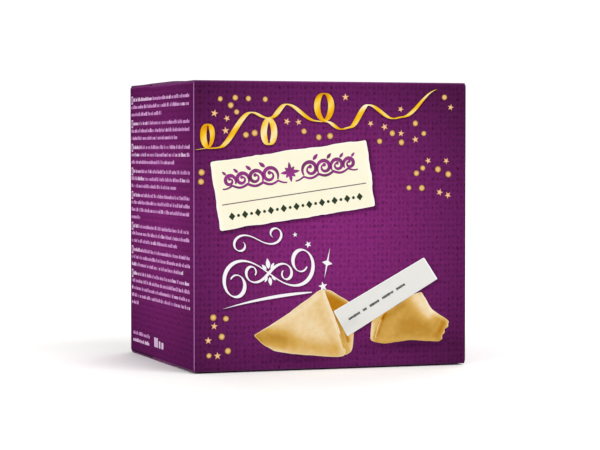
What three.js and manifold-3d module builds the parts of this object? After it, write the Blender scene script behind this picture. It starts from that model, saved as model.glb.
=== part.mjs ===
// A shut folding carton of printed board that holds wrapped cookies, standing on its bottom flaps.
// Millimetres, +Z up. The origin is the middle of the footprint. The front wall faces -Y and the information
// wall faces -X. Both ends are glued shut the same way: two dust flaps hinged on the side walls lie inmost,
// then an inner flap hinged on the front wall, then an outer flap hinged on the back wall, whose free edge
// shows. Being shut, the pack is one solid without a hollow.

import * as THREE from 'three';
import { mergeVertices } from 'three/addons/utils/BufferGeometryUtils.js';
import { TessellateModifier } from 'three/addons/modifiers/TessellateModifier.js';
import Module from 'manifold-3d';

// Driving dimensions
const width = 105; // between the folds, along X
const depth = 90; // between the folds, along Y
const height = 105; // from the ground to the top of the outer flap
const board = 0.5; // thickness of the board
const foldRadius = 0.75; // outside of a fold
const foldSteps = 2; // half the number of facets round a fold
const crown = 0.3; // how far the middle of a wall bows out

const outerFlapStrip = 27; // width of the strip along the front that the outer flap leaves bare
const innerFlapLength = 58; // reach of the inner flap behind the front wall
const outerFlapCorner = 3; // rounded corners of the outer flap's free edge
const flapInset = 0.5; // a main flap's cut side edge, behind the face of the side wall
const dustFlapInset = 0.625; // a dust flap's cut end, behind the faces of the front and back walls
const dustFlapLength = 42; // reach of a dust flap, measured in from its side wall
const grooveDepth = 0.75; // depth of the slot at the sides between a dust flap and the outer flap

const seamGap = 0.375; // from the side wall's fold to the back wall's cut edge, at the glued corner
const facetLength = 27; // longest edge of a facet, so that the bowed walls come out smooth

// Places worked out from them
const halfWidth = width / 2;
const halfDepth = depth / 2;
const wallThickness = 3; // of each strip's stand-in wall, which is buried in the core
const coreInset = flapInset + grooveDepth;

const wasm = await Module();
wasm.setup();

/** A closed geometry as a solid that can be joined and cut. */
function solid(geometry) {
  geometry.deleteAttribute('normal');
  geometry.deleteAttribute('uv');
  const merged = mergeVertices(geometry, 1e-4);
  const mesh = new wasm.Mesh({
    numProp: 3,
    vertProperties: Float32Array.from(merged.attributes.position.array),
    triVerts: Uint32Array.from(merged.index.array),
  });
  return new wasm.Manifold(mesh);
}

/** The solid back as a geometry. */
function geometryOf(body) {
  const mesh = body.getMesh();
  const geometry = new THREE.BufferGeometry();
  geometry.setAttribute('position', new THREE.BufferAttribute(Float32Array.from(mesh.vertProperties), 3));
  geometry.setIndex(new THREE.BufferAttribute(Uint32Array.from(mesh.triVerts), 1));
  return geometry;
}

/** A shape drawn in x and y, carried up from one height to another. */
function upright(shape, low, high) {
  const geometry = new THREE.ExtrudeGeometry(shape, {
    depth: high - low, bevelEnabled: false, curveSegments: foldSteps });
  return solid(geometry.translate(0, 0, low));
}

/** A shape drawn in y (first) and z (second), carried across the carton, equally far to both sides. */
function across(shape, reach) {
  const geometry = new THREE.ExtrudeGeometry(shape, {
    depth: 2 * reach, bevelEnabled: false, curveSegments: foldSteps });
  const turn = new THREE.Matrix4().makeBasis(
    new THREE.Vector3(0, 1, 0), new THREE.Vector3(0, 0, 1), new THREE.Vector3(1, 0, 0));
  return solid(geometry.translate(0, 0, -reach).applyMatrix4(turn));
}

/** A shape drawn in x (first) and z (second), carried from front to back. */
function backwards(shape, reach) {
  const geometry = new THREE.ExtrudeGeometry(shape, {
    depth: 2 * reach, bevelEnabled: false, curveSegments: foldSteps });
  return solid(geometry.translate(0, 0, -reach).rotateX(Math.PI / 2));
}

/**
 * One strip of board seen along its folds: a flap, a fold, the wall, a fold and the other flap.
 * side is -1 or +1, the way the wall faces. face is the wall's distance from the middle. bottom and top are
 * the outer faces of the two flaps, and reach is how far they go in from the wall.
 */
function stripShape(side, face, bottom, top, reach) {
  const wall = side * face;
  const bend = side * (face - foldRadius);
  const inside = side * (face - wallThickness);
  const free = side * (face - reach);
  const clockwise = side > 0;
  const outward = side > 0 ? 0 : Math.PI;
  const downward = side > 0 ? -Math.PI / 2 : 3 * Math.PI / 2;
  const shape = new THREE.Shape();
  shape.moveTo(free, top);
  shape.lineTo(bend, top);
  shape.absarc(bend, top - foldRadius, foldRadius, Math.PI / 2, outward, clockwise);
  shape.lineTo(wall, bottom + foldRadius);
  shape.absarc(bend, bottom + foldRadius, foldRadius, outward, downward, clockwise);
  shape.lineTo(free, bottom);
  shape.lineTo(free, bottom + board);
  shape.lineTo(inside, bottom + board);
  shape.lineTo(inside, top - board);
  shape.lineTo(free, top - board);
  shape.closePath();
  return shape;
}

/** The four walls in plan: three folded corners, and the glued one where the back wall's cut edge shows. */
function wallShape() {
  const bendX = halfWidth - foldRadius;
  const bendY = halfDepth - foldRadius;
  const tucked = halfDepth - board; // the glue flap lies under the back wall
  const shape = new THREE.Shape();
  shape.moveTo(-bendX, -halfDepth);
  shape.lineTo(bendX, -halfDepth);
  shape.absarc(bendX, -bendY, foldRadius, -Math.PI / 2, 0, false);
  shape.lineTo(halfWidth, tucked - foldRadius);
  shape.absarc(bendX, tucked - foldRadius, foldRadius, 0, Math.PI / 2, false);
  shape.lineTo(bendX - seamGap, tucked);
  shape.lineTo(bendX - seamGap, halfDepth);
  shape.lineTo(-bendX, halfDepth);
  shape.absarc(-bendX, bendY, foldRadius, Math.PI / 2, Math.PI, false);
  shape.lineTo(-halfWidth, -bendY);
  shape.absarc(-bendX, -bendY, foldRadius, Math.PI, 3 * Math.PI / 2, false);
  shape.closePath();
  return shape;
}

/** A rectangle as wide as the core, from one depth to another. */
function coreShape(front, back) {
  const reach = halfWidth - coreInset;
  const shape = new THREE.Shape();
  shape.moveTo(-reach, front);
  shape.lineTo(reach, front);
  shape.lineTo(reach, back);
  shape.lineTo(-reach, back);
  shape.closePath();
  return shape;
}

/** What rounds off one corner of the outer flap's free edge: the left one for side -1, the right for +1. */
function cornerOffcut(side) {
  const edge = -halfDepth + outerFlapStrip;
  const outside = halfWidth - flapInset;
  const radius = outerFlapCorner;
  const arc = new THREE.EllipseCurve(
    outside - radius, edge + radius, radius, radius, 0, -Math.PI / 2, true);
  const around = arc.getPoints(2 * foldSteps);
  const corners = [
    new THREE.Vector2(outside - radius, edge - 1),
    new THREE.Vector2(outside + 1, edge - 1),
    new THREE.Vector2(outside + 1, edge + radius),
  ];
  const outline = [...around, ...corners].map((point) => new THREE.Vector2(side * point.x, point.y));
  return new THREE.Shape(outline);
}

/** The shut carton with flat walls. */
function flatCarton() {
  const dustLevel = 2 * board; // both main flaps lie outside the dust flaps
  const innerLevel = board;
  const wallEnd = dustLevel + foldRadius / 2;
  const innerStrip = stripShape(-1, halfDepth, innerLevel, height - innerLevel, innerFlapLength);
  const outerStrip = stripShape(1, halfDepth, 0, height, depth - outerFlapStrip);
  const leftStrip = stripShape(-1, halfWidth, dustLevel, height - dustLevel, dustFlapLength);
  const rightStrip = stripShape(1, halfWidth, dustLevel, height - dustLevel, dustFlapLength);

  // The core ends half way through the thickness of the flap over it, so that no hollow is left between them
  const frontCore = coreShape(-halfDepth + coreInset, -halfDepth + innerFlapLength - 1);
  const backCore = coreShape(-halfDepth + outerFlapStrip + 1, halfDepth - coreInset);
  const frontCoreEnd = 1.5 * board;
  const backCoreEnd = 0.5 * board;

  const outerFlaps = across(outerStrip, halfWidth - flapInset)
    .subtract(upright(cornerOffcut(-1), -1, height + 1))
    .subtract(upright(cornerOffcut(1), -1, height + 1));
  const carton = upright(wallShape(), wallEnd, height - wallEnd)
    .add(upright(frontCore, frontCoreEnd, height - frontCoreEnd))
    .add(upright(backCore, backCoreEnd, height - backCoreEnd))
    .add(backwards(leftStrip, halfDepth - dustFlapInset))
    .add(backwards(rightStrip, halfDepth - dustFlapInset))
    .add(across(innerStrip, halfWidth - flapInset))
    .add(outerFlaps);
  return geometryOf(carton);
}

/** Bows every wall and the top outwards: most at the middle of a panel, nothing along its folds. */
function bow(geometry) {
  const position = geometry.attributes.position;
  const point = new THREE.Vector3();
  for (let i = 0; i < position.count; i += 1) {
    point.fromBufferAttribute(position, i);
    const x = point.x / halfWidth;
    const y = point.y / halfDepth;
    const z = (2 * point.z) / height - 1;
    const hump = (a, b) => crown * Math.max(0, 1 - a * a) * Math.max(0, 1 - b * b);
    point.x += x * hump(y, z);
    point.y += y * hump(x, z);
    point.z += Math.max(0, z) * hump(x, y);
    position.setXYZ(i, point.x, point.y, point.z);
  }
}

const facets = new TessellateModifier(facetLength, 8).modify(flatCarton());
bow(facets);
const geometry = mergeVertices(facets, 1e-4);
geometry.computeVertexNormals();

const printedBoard = new THREE.MeshStandardMaterial({ color: 0x6b1f60, roughness: 0.6, metalness: 0 });
const carton = new THREE.Mesh(geometry, printedBoard);
carton.name = 'carton';

const group = new THREE.Group();
group.add(carton);
export default group;
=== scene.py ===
import math

import bpy
import numpy as np
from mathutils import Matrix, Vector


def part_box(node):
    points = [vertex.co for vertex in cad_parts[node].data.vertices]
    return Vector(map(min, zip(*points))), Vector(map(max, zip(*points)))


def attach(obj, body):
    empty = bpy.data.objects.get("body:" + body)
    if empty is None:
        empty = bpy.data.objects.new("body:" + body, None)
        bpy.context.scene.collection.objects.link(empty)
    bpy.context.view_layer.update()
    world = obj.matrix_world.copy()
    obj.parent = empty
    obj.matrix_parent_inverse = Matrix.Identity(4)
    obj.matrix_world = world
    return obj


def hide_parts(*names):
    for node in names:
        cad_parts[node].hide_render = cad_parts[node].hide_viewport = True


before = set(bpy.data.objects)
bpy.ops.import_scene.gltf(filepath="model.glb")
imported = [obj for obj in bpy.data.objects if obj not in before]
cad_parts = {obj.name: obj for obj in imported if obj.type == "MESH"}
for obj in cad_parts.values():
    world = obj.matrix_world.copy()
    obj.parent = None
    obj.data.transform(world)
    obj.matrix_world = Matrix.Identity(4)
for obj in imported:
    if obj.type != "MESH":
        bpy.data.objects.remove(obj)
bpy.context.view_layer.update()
mm = 0.001
lowCorner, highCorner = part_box("carton")

# The shut carton. Lengths here and below are in millimetres.
carton = {
    "crown": 0.3,  # how far the middle of a panel bows out
    "board": 0.5,  # thickness of the board
    "foldRadius": 0.75,  # outside of a fold
    "outerFlapStrip": 27.0,  # strip along the front that the outer flap leaves bare
    "innerFlapLength": 58.0,
    "dustFlapLength": 42.0,
    "flapCorner": 3.0,  # rounded corners of the outer flap
    "flapInset": 0.5,  # a main flap's cut side edge, behind the side wall's face
    "dustFlapInset": 0.625,
    "seamGap": 0.375,  # at the glued corner, from the fold to the back wall's cut edge
    "glueFlap": 15.0,
    "sink": 0.08,  # how far the outer flap gives where no inner flap lies under it
    "sinkSlope": 13.0,  # length of the slopes down to there
    "spring": 0.4,  # how far the dust flaps spring up there, against the outer flap
    "springSlope": 3.5,
    "gridStep": 1.5,  # spacing of the mesh lines over a plain panel
    "printStep": 0.75,  # the same over the front, whose printed shadows need it finer
    "glueStep": 3.0,  # the same over the glue flap, which lies hidden
    "foldPoints": 7,  # mesh points round a wall's part of a fold
    "flapPoints": 9,  # mesh points round a flap's fold, and round its corners
    "flapWear": 0.1, "flapWearWidth": 0.4,  # the line where the board shows through along a flap's fold
}
halfWidth = (highCorner.x - lowCorner.x) / 2 / mm - carton["crown"]
halfDepth = (highCorner.y - lowCorner.y) / 2 / mm - carton["crown"]
height = highCorner.z / mm - carton["crown"]
film = 0.04  # thickness of a drawn ink film, thicker than real ink so that it holds as a shape
# How high the top of each ink film stands above its panel, so that what overlaps lies in the right order
layers = {"shadow": 0.05, "blocks": 0.06, "confetti": 0.07, "paper": 0.09, "stroke": 0.11, "onPaper": 0.14,
          "overPicture": 0.16, "writing": 0.23}
sharpEdge = 40  # degrees; where two faces turn further, their edge stays sharp


def smoothstep(t):
    # Eases from 0 to 1: 3 t squared - 2 t cubed
    return t * t * (3 - 2 * t)


def bow(points):
    # Each wall and the top bow out by crown x (1 - a squared) x (1 - b squared), where a and b run from -1
    # to 1 over the panel
    x, y = points[..., 0] / halfWidth, points[..., 1] / halfDepth
    z = 2 * points[..., 2] / height - 1
    hump = lambda a, b: carton["crown"] * np.clip(1 - a * a, 0, None) * np.clip(1 - b * b, 0, None)
    moved = np.stack([x * hump(y, z), y * hump(x, z), np.clip(z, 0, None) * hump(x, y)], axis=-1)
    return points + moved


# A panel's own coordinates are u to the right and v up, seen from outside. lift is the height above it.
def onPanel(x, y, z):
    return np.stack(np.broadcast_arrays(x, y, z), axis=-1).astype(float)


def onFront(u, v, lift=0.0):
    return onPanel(u, -halfDepth - lift, v)


def onBack(u, v, lift=0.0):
    return onPanel(-u, halfDepth + lift, v)


def onLeft(u, v, lift=0.0):
    return onPanel(-halfWidth - lift, -u, v)


def onRight(u, v, lift=0.0):
    return onPanel(halfWidth + lift, u, v)


def outerFlapSink(reach):
    # How far the outer flap lies low at that distance from its fold: a smoothstep down from the fold, and one
    # up again to the edge of the inner flap, which bears it
    innerEdge = 2 * halfDepth - carton["innerFlapLength"]
    free = np.minimum(reach - 2 * carton["foldRadius"], innerEdge - reach)
    return carton["sink"] * smoothstep(np.clip(free / carton["sinkSlope"], 0, 1))


def sprungUp(points):
    # Behind the inner flap's edge the dust flaps spring up and take the top of their wall along: a
    # smoothstep of the distance from that edge, in full at the top and down to nothing half way up the wall
    rise = np.clip((points[..., 1] + halfDepth - carton["innerFlapLength"]) / carton["springSlope"], 0, 1)
    high = np.clip(2 * points[..., 2] / height - 1, 0, 1)
    return points + (carton["spring"] * smoothstep(rise) * high)[..., None] * [0, 0, 1]


def onTop(u, v, lift=0.0):
    # v runs from front to back and is 0 in the middle; the strip along the front lies one board lower
    step = np.where(v < carton["outerFlapStrip"] - halfDepth, carton["board"], outerFlapSink(halfDepth - v))
    return onPanel(u, v, height - step + lift)


def sheetShell(outer, inner, uv, **values):
    # A grid of points and the same grid one thickness further in, joined round the rim into a closed shell.
    # Rows run up and columns to the right, seen from outside. Part 0 is the outer face, and part 1 is the
    # inner one and the rim.
    rows, columns = outer.shape[:2]
    count = rows * columns
    index = np.arange(count).reshape(rows, columns)
    quad = lambda a, b, c, d: np.stack([a, b, c, d], axis=-1).reshape(-1, 4)
    face = quad(index[:-1, :-1], index[:-1, 1:], index[1:, 1:], index[1:, :-1])
    rims = []
    for edge, forward in ((index[0], False), (index[-1], True), (index[:, 0], True), (index[:, -1], False)):
        a, b = edge[:-1], edge[1:]
        rims.append(quad(a, b, b + count, a + count) if forward else quad(a, a + count, b + count, b))
    faces = np.concatenate([face, face[:, ::-1] + count] + rims)
    part = np.repeat([0, 1], [len(face), len(faces) - len(face)])
    points = np.concatenate([outer.reshape(-1, 3), inner.reshape(-1, 3)])
    twice = lambda grid, width: np.tile(np.reshape(grid, (count, width)), (2, 1))
    return {"points": points, "faces": [faces], "parts": [part], "uv": twice(uv, 2),
            "values": {name: twice(value, 1)[:, 0] for name, value in values.items()}}


def filledShell(outline, centre, rings, place, lift, **rules):
    # A flat shape filled from its centre: ring k lies at the share k / rings of the way out to the outline.
    # Each rule gives a value of the surface from that share and the flat points.
    share = np.linspace(0, 1, rings + 1)[1:]
    centre = np.array(centre, float)
    flat = np.concatenate([[centre], (centre + share[:, None, None] * (outline - centre)).reshape(-1, 2)])
    around, count = len(outline), len(flat)
    near = 1 + np.arange(around)
    after = np.roll(near, -1)
    fan = np.stack([np.zeros_like(near), near, after], axis=-1)
    grid = np.arange(rings - 1)[:, None, None] * around
    cover = (np.stack([near, near + around, after + around, after], axis=-1)[None] + grid).reshape(-1, 4)
    near, after = near + around * (rings - 1), after + around * (rings - 1)
    rim = np.stack([near, near + count, after + count, after], axis=-1)
    faces = np.concatenate([cover, cover[:, ::-1] + count, rim])
    fans = np.concatenate([fan, fan[:, ::-1] + count])
    points = [place(flat[:, 0], flat[:, 1], high) for high in (lift, lift - film)]
    spread = np.concatenate([[0.0], np.repeat(share, around)])
    return {"points": np.concatenate(points), "faces": [faces, fans],
            "parts": [np.zeros(len(faces), int), np.zeros(len(fans), int)], "uv": np.tile(flat, (2, 1)),
            "values": {name: np.tile(rule(spread, flat), 2) for name, rule in rules.items()}}


def blockShell(blocks, place, lift, **values):
    # Small upright rectangles (left, bottom, right, top), each a closed block of ink
    left, low, right, high = np.asarray(blocks, float).T
    u = np.stack([left, right, right, left] * 2, axis=-1)
    v = np.stack([low, low, high, high] * 2, axis=-1)
    lifts = np.repeat([lift, lift - film], 4)[None, :] + 0 * u
    corner = np.array([[0, 1, 2, 3], [7, 6, 5, 4], [0, 4, 5, 1], [1, 5, 6, 2], [2, 6, 7, 3], [3, 7, 4, 0]])
    faces = (corner[None] + 8 * np.arange(len(u))[:, None, None]).reshape(-1, 4)
    return {"points": place(u, v, lifts).reshape(-1, 3), "faces": [faces],
            "parts": [np.zeros(len(faces), int)], "uv": np.stack([u, v], axis=-1).reshape(-1, 2),
            "values": {name: np.repeat(value, 8) for name, value in values.items()}}


def joined(shells):
    # Several shells as one, their faces renumbered
    start, faces, parts = 0, [], []
    for shell in shells:
        faces += [face + start for face in shell["faces"]]
        parts += shell["parts"]
        start += len(shell["points"])
    stacked = lambda key: np.concatenate([shell[key] for shell in shells])
    return {"points": stacked("points"), "faces": faces, "parts": parts, "uv": stacked("uv"),
            "values": {name: np.concatenate([shell["values"][name] for shell in shells])
                       for name in shells[0]["values"]}}


def makePiece(name, shell, materials, smooth=True):
    # Bows the shell with the panels and puts it into a mesh, with its print coordinates and its values
    mesh = bpy.data.meshes.new(name)
    faces = [row for block in shell["faces"] for row in block.tolist()]
    mesh.from_pydata((bow(shell["points"]) * mm).tolist(), [], faces)
    loops = np.empty(len(mesh.loops), np.int32)
    mesh.loops.foreach_get("vertex_index", loops)
    mesh.uv_layers.new(name="print").uv.foreach_set("vector", shell["uv"][loops].astype(np.float32).ravel())
    for key, value in shell["values"].items():
        mesh.attributes.new(key, "FLOAT", "POINT").data.foreach_set("value", value.astype(np.float32))
    part = np.concatenate(shell["parts"]).astype(np.int32)
    mesh.polygons.foreach_set("material_index", np.minimum(part, len(materials) - 1))
    mesh.polygons.foreach_set("use_smooth", np.full(len(part), smooth))
    for material in materials:
        mesh.materials.append(material)
    if smooth:
        mesh.set_sharp_from_angle(angle=math.radians(sharpEdge))
    piece = bpy.data.objects.new(name, mesh)
    bpy.context.scene.collection.objects.link(piece)
    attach(piece, "root")
    return piece


def linear(code):
    # An sRGB hex value as linear light, with alpha 1
    parts = [int(code[i:i + 2], 16) / 255 for i in (1, 3, 5)]
    return [p / 12.92 if p <= 0.04045 else ((p + 0.055) / 1.055) ** 2.4 for p in parts] + [1.0]


def addNode(tree, kind, inputs=None, stops=(), **settings):
    # Adds a node with its settings. Each input is a value, a socket to link from, or a node whose first
    # output in use is linked; stops are the (position, hex) stops of a colour ramp.
    node = tree.nodes.new("ShaderNode" + kind)
    for key, value in settings.items():
        setattr(node, key, value)
    for key, value in (inputs or {}).items():
        if isinstance(value, bpy.types.Node):
            value = next(socket for socket in value.outputs if socket.enabled)
        if isinstance(value, bpy.types.NodeSocket):
            tree.links.new(value, node.inputs[key])
        else:
            node.inputs[key].default_value = value
    for k, (position, code) in enumerate(stops):
        element = node.color_ramp.elements[k] if k < 2 else node.color_ramp.elements.new(position)
        element.position, element.color = position, linear(code)
    return node


def newMaterial(name, roughness, ior, specular):
    # A material with its node tree and shader; how rough and how mirror-like it is goes on the shader itself
    material = bpy.data.materials.new(name)
    material.use_nodes = True
    tree = material.node_tree
    shader = tree.nodes["Principled BSDF"]
    shader.inputs["Roughness"].default_value = roughness
    shader.inputs["IOR"].default_value = ior
    shader.inputs["Specular IOR Level"].default_value = specular
    return material, tree, shader


# Offset ink under a dead matt varnish: saturated and even, with no sheen even at a flat angle
ink = {"roughness": 0.6, "ior": 1.45, "specular": 0.0}

canvasPrint = {
    "stops": [(0.0, "#842A74"), (0.25, "#7E2870"), (0.45, "#742566"), (0.70, "#64205A"), (1.0, "#4C1843")],
    "repeat": 52.5,  # half the distance from a panel's light middle to the next one, on a flap
    "threadAcross": 1.65,  # spacing of the drawn canvas's upright threads
    "threadUp": 2.1,  # and of its level ones
    "wander": 1.1,  # how far the threads stray
    "hole": 0.30,  # how much darker the gaps between the threads are
    "holeSpread": 0.8,  # by this share they are fainter in one place and darker in another
    "holeShape": 0.75,  # below 1 the gaps are broad, above it they are points
    "pair": 0.15,  # by this share every second column of gaps is darker, and the others are lighter
    "slub": 0.14,  # how much the threads' own tone varies
    "lift": 1.09,  # makes up for the darkening by the gaps
    "foldWearAndHighlight": "#E9A1EB",  # worn fold line, partly a painted highlight
    # scale of the noise behind each, as clouds per millimetre
    "wanderNoise": 0.4, "holeNoise": 0.7, "slubNoise": 0.8, "hillNoise": 0.9,
    "hillHeight": 0.00003,  # metres
}


def printedBoard(name, middle, reach):
    # Purple canvas print with soft darker gaps where the drawn threads cross: each gap is the product of
    # two raised cosines, one across and one up, to a power. The print is light in the panel's middle and
    # grows dark with the distance, fully so at the reach.
    look = canvasPrint
    material, tree, shader = newMaterial(name, **ink)
    place = addNode(tree, "UVMap", uv_map="print")
    offset = addNode(tree, "VectorMath", {0: place, 1: (*middle, 0.0)}, operation="SUBTRACT")
    limit = 10 * look["repeat"]  # so wide that nothing repeats across, only up the panel
    wrapped = addNode(tree, "VectorMath", {0: offset, 1: (limit, look["repeat"], 1.0),
                                           2: (-limit, -look["repeat"], -1.0)}, operation="WRAP")
    away = addNode(tree, "VectorMath", {0: wrapped}, operation="LENGTH")
    share = addNode(tree, "Math", {0: away, 1: reach}, operation="DIVIDE")
    ground = addNode(tree, "ValToRGB", {0: share}, look["stops"])

    # the threads are drawn by hand, so their coordinates wander a little
    stray = addNode(tree, "TexNoise", {"Vector": place, "Scale": look["wanderNoise"], "Detail": 1.0})
    moved = addNode(tree, "VectorMath", {0: stray.outputs["Color"], 1: (look["wander"],) * 3, 2: place},
                    operation="MULTIPLY_ADD")
    turns = (2 * math.pi / look["threadAcross"], 2 * math.pi / look["threadUp"], 0.0)
    phase = addNode(tree, "VectorMath", {0: moved, 1: turns}, operation="MULTIPLY")
    halfPhase = addNode(tree, "VectorMath", {0: phase, "Scale": 0.5}, operation="SCALE")
    halfWave = addNode(tree, "VectorMath", {0: halfPhase}, operation="COSINE")
    column = addNode(tree, "SeparateXYZ", {0: halfWave})
    wave = addNode(tree, "VectorMath", {0: phase}, operation="COSINE")
    half = (0.5, 0.5, 0.5)
    raised = addNode(tree, "VectorMath", {0: wave, 1: half, 2: half}, operation="MULTIPLY_ADD")
    thread = addNode(tree, "SeparateXYZ", {0: raised})
    crossing = addNode(tree, "Math", {0: thread.outputs["X"], 1: thread.outputs["Y"]}, operation="MULTIPLY")
    gap = addNode(tree, "Math", {0: crossing, 1: look["holeShape"]}, operation="POWER")
    noiseSpan = {"From Min": 0.3, "From Max": 0.7}  # what noise runs over, but for its last few per cent
    patch = addNode(tree, "TexNoise", {"Vector": place, "Scale": look["holeNoise"], "Detail": 1.0})
    depth = addNode(tree, "MapRange", {"Value": patch.outputs["Fac"], **noiseSpan,
                                       "To Min": (1 - look["holeSpread"]) * look["hole"],
                                       "To Max": (1 + look["holeSpread"]) * look["hole"]})
    pair = addNode(tree, "MapRange", {"Value": column.outputs["X"], "From Min": -1.0, "From Max": 1.0,
                                      "To Min": 1.0 - look["pair"], "To Max": 1.0 + look["pair"]})
    uneven = addNode(tree, "Math", {0: depth, 1: pair}, operation="MULTIPLY")
    darker = addNode(tree, "Math", {0: gap, 1: uneven}, operation="MULTIPLY")
    slub = addNode(tree, "TexNoise", {"Vector": place, "Scale": look["slubNoise"], "Detail": 2.0})
    thick = addNode(tree, "MapRange", {"Value": slub.outputs["Fac"], **noiseSpan,
                                       "To Min": look["lift"] - look["slub"],
                                       "To Max": look["lift"] + look["slub"]})
    weave = addNode(tree, "Math", {0: thick, 1: darker}, operation="SUBTRACT")

    shadow = addNode(tree, "Attribute", attribute_name="shadow").outputs["Fac"]
    lit = addNode(tree, "Math", {0: 1.0, 1: shadow}, operation="SUBTRACT")
    keep = addNode(tree, "Math", {0: weave, 1: lit}, operation="MULTIPLY")
    woven = addNode(tree, "VectorMath", {0: ground, "Scale": keep}, operation="SCALE")
    # the fold line colour mixed in along folds: worn ink, and on the front-left fold a painted highlight
    crease = addNode(tree, "Attribute", attribute_name="crease").outputs["Fac"]
    wornAndHighlit = addNode(tree, "Mix", {0: crease, 6: woven, 7: linear(look["foldWearAndHighlight"])}, data_type="RGBA")
    tree.links.new(wornAndHighlit.outputs[2], shader.inputs["Base Color"])

    # boxboard is never quite flat: soft hills a millimetre across, coarser than its fibres so that they show
    hills = addNode(tree, "TexNoise", {"Vector": place, "Scale": look["hillNoise"], "Detail": 3.0})
    bump = addNode(tree, "Bump", {"Height": hills.outputs["Fac"], "Strength": 0.25,
                                  "Distance": look["hillHeight"]})
    tree.links.new(bump.outputs[0], shader.inputs["Normal"])
    return material


def cutBoard():
    # Recycled board where it is cut and inside: matt, fibrous, a dull purple. Its fibres are drawn half a
    # millimetre across, as coarse as they need to be to show.
    material, tree, shader = newMaterial("cut grey boxboard", 0.9, 1.47, 0.1)
    place = addNode(tree, "TexCoord").outputs["Object"]
    grain = addNode(tree, "TexNoise", {"Vector": place, "Scale": 1800.0, "Detail": 3.0}).outputs["Fac"]
    colour = addNode(tree, "ValToRGB", {0: grain}, [(0.3, "#6A2F61"), (0.7, "#8C5583")])
    tree.links.new(colour.outputs["Color"], shader.inputs["Base Color"])
    return material


def inkFilm(name, stops, value=None, mottle=0.12, scale=0.9):
    # A spot of offset ink. Its colour follows the piece's own value along the stops, or lies half way along
    # them. The ink's uneven lay-down shifts it by about the mottle, in clouds 1 / scale millimetres across.
    material, tree, shader = newMaterial(name, **ink)
    place = addNode(tree, "UVMap", uv_map="print")
    lay = addNode(tree, "TexNoise", {"Vector": place, "Scale": scale, "Detail": 3.0}).outputs["Fac"]
    spread = addNode(tree, "MapRange", {"Value": lay, "From Min": 0.25, "From Max": 0.75,
                                        "To Min": -mottle, "To Max": mottle}, clamp=False)
    tone = addNode(tree, "Attribute", attribute_name=value).outputs["Fac"] if value else 0.5
    factor = addNode(tree, "Math", {0: tone, 1: spread}, operation="ADD")
    colour = addNode(tree, "ValToRGB", {0: factor}, stops)
    tree.links.new(colour.outputs["Color"], shader.inputs["Base Color"])
    return material


def turned(points, angle, at=(0.0, 0.0)):
    # Points, or one point, turned by angle degrees about the origin and then moved
    cosine, sine = math.cos(math.radians(angle)), math.sin(math.radians(angle))
    return points @ np.array([[cosine, sine], [-sine, cosine]]) + np.array(at)


def evened(points, spacing, closed=True):
    # The same line with its points evenly spaced along it; what stands in further columns goes along
    line = np.concatenate([points, points[:1]]) if closed else points
    run = np.concatenate([[0], np.cumsum(np.linalg.norm(np.diff(line[:, :2], axis=0), axis=1))])
    at = np.linspace(0, run[-1], max(8, int(run[-1] / spacing)), endpoint=not closed)
    return np.stack([np.interp(at, run, column) for column in line.T], axis=-1)


def softened(values, reach, ends="edge"):
    # The values averaged under a bell (Hann) window that reaches so many steps to each side
    bell = np.hanning(2 * reach + 3)[1:-1]
    return np.convolve(np.pad(values, reach, ends), bell / bell.sum(), "valid")


def cornered(corners, spacing, arcPoints=7):
    # A closed outline through (u, v, radius) corners, anticlockwise. A quadratic curve cuts each corner, from
    # one radius before it to one radius after it.
    corner = np.array(corners, float)
    spot, radius = corner[:, :2], corner[:, 2:3]
    before, after = np.roll(spot, 1, axis=0) - spot, np.roll(spot, -1, axis=0) - spot
    start = spot + before / np.linalg.norm(before, axis=1, keepdims=True) * radius
    end = spot + after / np.linalg.norm(after, axis=1, keepdims=True) * radius
    t = np.linspace(0, 1, arcPoints)[None, :, None]
    curve = (1 - t) ** 2 * start[:, None] + 2 * t * (1 - t) * spot[:, None] + t ** 2 * end[:, None]
    return evened(curve.reshape(-1, 2), spacing)


def outwardNormals(slope):
    # Unit normals of an anticlockwise outline whose sides or tangents are given
    return np.stack([slope[:, 1], -slope[:, 0]], axis=-1) / np.linalg.norm(slope, axis=1, keepdims=True)


def torn(outline, amount, seed):
    # A torn edge: the outline moved along its normals by smoothed random numbers, long waves and short ones
    draw = np.random.default_rng(seed)
    normal = outwardNormals(np.roll(outline, -1, axis=0) - np.roll(outline, 1, axis=0))
    offset = np.zeros(len(outline))
    for width, share in ((9, 1.0), (3, 0.35)):
        smooth = softened(draw.normal(size=len(outline)), width, "wrap")
        offset += share * smooth / smooth.std()
    return outline + amount * offset[:, None] * normal


def heading(path):
    # Unit direction of travel at each point of a path
    slope = np.gradient(path, axis=0)
    return slope / (np.linalg.norm(slope, axis=1, keepdims=True) + 1e-12)


def strokeShell(path, width, place, lift, across=5, **rules):
    # A stroke of a broad pen: the path offset to both sides by half its width, along its normals. Each rule
    # gives a value from the share along the path and the share across, from -1 to 1.
    way = heading(path)
    side = np.stack([-way[:, 1], way[:, 0]], axis=-1)
    share = np.linspace(-1, 1, across)
    flat = path[None] + 0.5 * share[:, None, None] * np.reshape(width, (1, -1, 1)) * side[None]
    high = np.broadcast_to(lift, (len(path),))[None, :] + 0 * flat[..., 0]
    top, low = (place(flat[..., 0], flat[..., 1], level) for level in (high, high - film))
    along = np.linspace(0, 1, len(path))[None, :]
    grids = {name: rule(along, share[:, None]) + 0 * high for name, rule in rules.items()}
    return sheetShell(top, low, flat, **grids)


def drawnShadow(path, width, place, lift, strength, margin, steep, offset, across):
    # The drawn shadow of a stroke, moved by the offset and a margin wider to each side: its strength fades to
    # nothing at the edges, as steep x (1 - share across)
    fade = lambda along, side: strength * np.clip((1 - np.abs(side)) * steep, 0, 1)
    return strokeShell(path + offset, width + 2 * margin, place, lift, across, shadow=fade,
                       crease=lambda along, side: 0 * side)


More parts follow.
